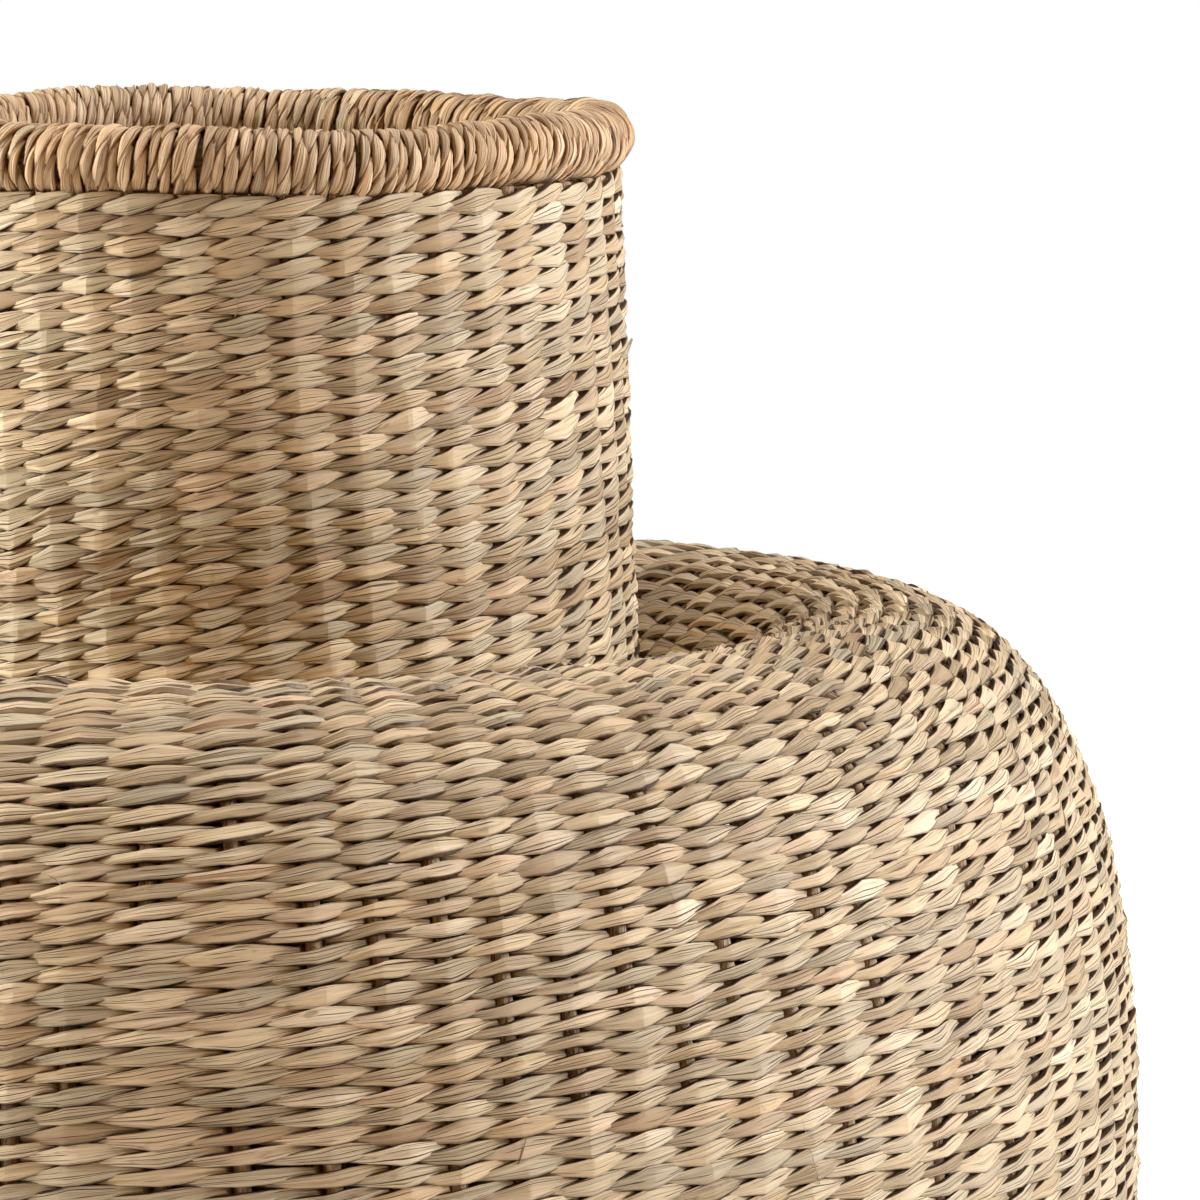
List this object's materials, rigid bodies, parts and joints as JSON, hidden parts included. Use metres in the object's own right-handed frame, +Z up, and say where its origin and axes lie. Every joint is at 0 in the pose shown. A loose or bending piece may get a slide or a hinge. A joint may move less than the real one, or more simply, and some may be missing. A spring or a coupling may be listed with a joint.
{
  "type": "woven vase",
  "caption": "Big-bellied woven vase with a sunken collar, a straight cylindrical neck and a corded rim, twined from flat seagrass strands over cord stakes.",
  "frame": {"origin": "middle of the base, on the surface that the vase stands on", "axes": "+Z up along the vase's axis; the vase is round, so +X and +Y are free"},
  "size_m": [0.481, 0.481, 0.48],
  "materials": {
    "seagrass_strand": "dry flat seagrass strands, straw coloured, with fine lengthwise creases and a slight sheen",
    "stake_cord": "brown twisted seagrass cord, matte",
    "rim_core": "bundle of plant fibre, matte",
    "rim_cord": "twisted seagrass cord, brown, creased, slight sheen"
  },
  "bodies": {
    "root": {"heel_outer_weft": "seagrass_strand", "heel_inner_weft": "seagrass_strand", "lower_wall_outer_weft": "seagrass_strand", "lower_wall_inner_weft": "seagrass_strand", "upper_wall_outer_weft": "seagrass_strand", "upper_wall_inner_weft": "seagrass_strand", "shoulder_outer_weft": "seagrass_strand", "shoulder_inner_weft": "seagrass_strand", "dish_outer_weft": "seagrass_strand", "dish_inner_weft": "seagrass_strand", "neck_outer_weft": "seagrass_strand", "neck_inner_weft": "seagrass_strand", "base_under_weft": "seagrass_strand", "base_upper_weft": "seagrass_strand", "stake_under_01": "stake_cord", "stake_under_02": "stake_cord", "stake_under_03": "stake_cord", "stake_under_04": "stake_cord", "stake_under_05": "stake_cord", "stake_under_06": "stake_cord", "stake_under_07": "stake_cord", "stake_under_08": "stake_cord", "stake_under_09": "stake_cord", "stake_under_10": "stake_cord", "stake_under_11": "stake_cord", "stake_under_12": "stake_cord", "stake_over_01": "stake_cord", "stake_over_02": "stake_cord", "stake_over_03": "stake_cord", "stake_over_04": "stake_cord", "stake_over_05": "stake_cord", "stake_over_06": "stake_cord", "stake_over_07": "stake_cord", "stake_over_08": "stake_cord", "stake_over_09": "stake_cord", "stake_over_10": "stake_cord", "stake_over_11": "stake_cord", "stake_over_12": "stake_cord", "rim_hoop": "rim_core", "rim_lashing": "rim_cord"}
  },
  "joints": []
}
